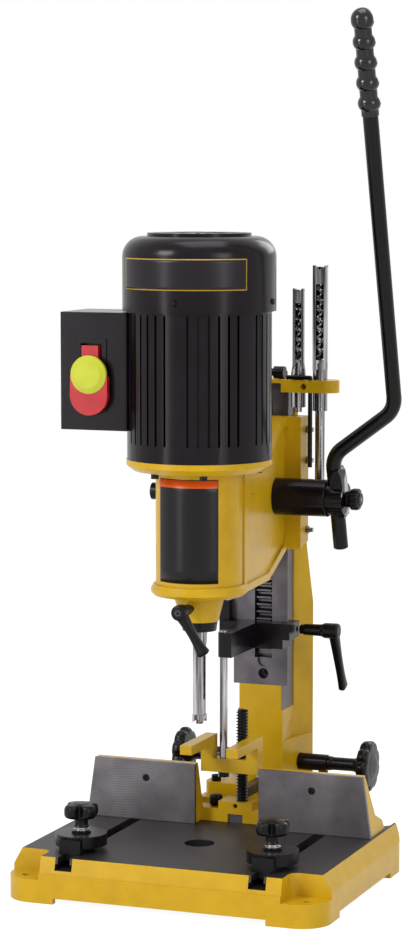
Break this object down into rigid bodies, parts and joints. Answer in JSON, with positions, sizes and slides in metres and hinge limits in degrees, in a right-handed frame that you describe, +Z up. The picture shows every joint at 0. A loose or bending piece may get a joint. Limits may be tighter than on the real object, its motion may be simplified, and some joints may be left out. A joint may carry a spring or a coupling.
{
  "type": "benchtop hollow-chisel mortiser",
  "caption": "Benchtop mortiser: ribbed iron base with table, dovetail column, lever-fed head with upright motor and square hollow chisel, fence, hold-down fork and T-slot work stops.",
  "frame": {"origin": "middle of the four bench bolts, on the bench", "axes": "+X to the operator's right, +Y away from the operator, +Z up"},
  "size_m": [0.4328, 0.458, 1.0855],
  "materials": {
    "yellow_paint": "semi-gloss enamel over sand-cast iron",
    "ground_iron": "ground grey iron",
    "ground_steel": "ground steel",
    "motor_paint": "semi-gloss black enamel",
    "black_oxide": "black oxide on steel",
    "black_plastic": "moulded, satin",
    "grip_rubber": "moulded vinyl grip",
    "bright_steel": "polished steel",
    "screw_steel": "zinc plated",
    "switch_grey": "fine textured enamel",
    "red_plastic": "moulded",
    "key_plastic": "moulded",
    "winding": "lacquered copper wire and laminations"
  },
  "bodies": {
    "frame": {"base": "yellow_paint", "column": "yellow_paint", "dovetail_way": "ground_iron", "feed_rack": "ground_steel", "frame_screws": "black_oxide", "tool_holder": "yellow_paint", "spare_chisels": "bright_steel", "spare_augers": "ground_steel", "chuck_key": "black_oxide", "hex_wrench": "black_oxide", "guide_key": "ground_iron", "shaft_bushings": "motor_paint"},
    "head": {"head_casting": "yellow_paint", "gib": "ground_steel", "gib_screws": "screw_steel", "chisel_bushing": "black_oxide", "mortise_chisel": "bright_steel", "access_plug": "black_plastic", "motor_shell": "motor_paint", "end_bell": "ground_iron", "motor_bolts": "black_oxide", "stator": "winding", "motor_bearings": "bright_steel", "fan_cover": "motor_paint", "fan_cover_screws": "screw_steel", "switch_box": "switch_grey", "switch_bezel": "black_plastic", "shaft_housing": "motor_paint"},
    "spindle": {"motor_shaft": "bright_steel", "rotor": "ground_iron", "cooling_fan": "black_plastic", "chuck_body": "ground_steel", "chuck_jaws": "bright_steel", "auger_bit": "bright_steel"},
    "feed_handle": {"feed_gear": "ground_steel", "feed_shaft": "bright_steel", "lever_hub": "motor_paint", "feed_lever": "black_oxide", "lever_grip": "grip_rubber"},
    "star_knob": {"star_knob": "black_plastic"},
    "chisel_lock": {"chisel_lock_lever": "black_plastic"},
    "paddle": {"switch_paddle": "red_plastic"},
    "key": {"switch_key": "key_plastic"},
    "hold_down": {"hold_down_block": "motor_paint", "hold_down_rod": "bright_steel", "hold_down_fork": "yellow_paint", "fork_nut": "black_oxide"},
    "hold_down_lock": {"hold_down_lever": "black_plastic"},
    "fence": {"fence_casting": "yellow_paint", "fence_plates": "ground_steel", "plate_screws": "black_oxide", "fence_rack": "ground_steel", "threaded_post": "black_oxide"},
    "fence_feed": {"fence_shaft": "bright_steel", "fence_knobs": "black_plastic"},
    "fence_lock": {"fence_lock_knob": "black_plastic"},
    "stop_left": {"stop_left": "motor_paint"},
    "stop_right": {"stop_right": "motor_paint"},
    "knob_left": {"stop_knob_left": "black_plastic"},
    "knob_right": {"stop_knob_right": "black_plastic"}
  },
  "joints": [
    {"name": "head_feed", "type": "slide", "parent": "frame", "child": "head", "axis": [0, 0, -1], "range_m": [0, 0.09]},
    {"name": "feed_lever_turn", "type": "hinge", "parent": "head", "child": "feed_handle", "pos_m": [0.12, 0.1365, 0.478], "axis": [1, 0, 0], "range_deg": [0, 85.94]},
    {"name": "motor_spin", "type": "hinge", "parent": "head", "child": "spindle", "pos_m": [0, -0.031, 0.6], "axis": [0, 0, 1], "continuous": true},
    {"name": "star_knob_turn", "type": "hinge", "parent": "feed_handle", "child": "star_knob", "pos_m": [0.15, 0.1365, 0.478], "axis": [1, 0, 0], "continuous": true},
    {"name": "chisel_lock_turn", "type": "hinge", "parent": "head", "child": "chisel_lock", "pos_m": [0, -0.081, 0.358], "axis": [0, 1, 0], "range_deg": [-45, 60]},
    {"name": "paddle_press", "type": "hinge", "parent": "head", "child": "paddle", "pos_m": [-0.1215, -0.078, 0.677], "axis": [1, 0, 0], "range_deg": [-12, 1]},
    {"name": "key_pull", "type": "slide", "parent": "paddle", "child": "key", "axis": [0, -1, 0], "range_m": [0, 0.015]},
    {"name": "hold_down_height", "type": "slide", "parent": "frame", "child": "hold_down", "axis": [0, 0, -1], "range_m": [-0.068, 0.033]},
    {"name": "hold_down_lock_turn", "type": "hinge", "parent": "hold_down", "child": "hold_down_lock", "pos_m": [0.09, 0.199, 0.2965], "axis": [1, 0, 0], "range_deg": [-90, 30]},
    {"name": "fence_slide", "type": "slide", "parent": "frame", "child": "fence", "axis": [0, -1, 0], "range_m": [-0.045, 0.014]},
    {"name": "fence_feed_turn", "type": "hinge", "parent": "frame", "child": "fence_feed", "pos_m": [0, 0.236, 0.113], "axis": [1, 0, 0], "range_deg": [-61.8, 198.4]},
    {"name": "fence_lock_turn", "type": "hinge", "parent": "fence", "child": "fence_lock", "pos_m": [-0.0305, 0.107, 0.08], "axis": [0, 0, 1], "continuous": true},
    {"name": "stop_left_slide", "type": "slide", "parent": "frame", "child": "stop_left", "axis": [0, 1, 0], "range_m": [-0.018, 0.08]},
    {"name": "stop_right_slide", "type": "slide", "parent": "frame", "child": "stop_right", "axis": [0, 1, 0], "range_m": [-0.018, 0.08]},
    {"name": "knob_left_turn", "type": "hinge", "parent": "stop_left", "child": "knob_left", "pos_m": [-0.126, -0.111, 0.1], "axis": [0, 0, 1], "continuous": true},
    {"name": "knob_right_turn", "type": "hinge", "parent": "stop_right", "child": "knob_right", "pos_m": [0.126, -0.111, 0.1], "axis": [0, 0, 1], "continuous": true}
  ],
  "couplings": [
    {"joint": "feed_lever_turn", "follows": "head_feed", "rad_per_m": 16.667},
    {"joint": "fence_feed_turn", "follows": "fence_slide", "rad_per_m": -76.923}
  ]
}
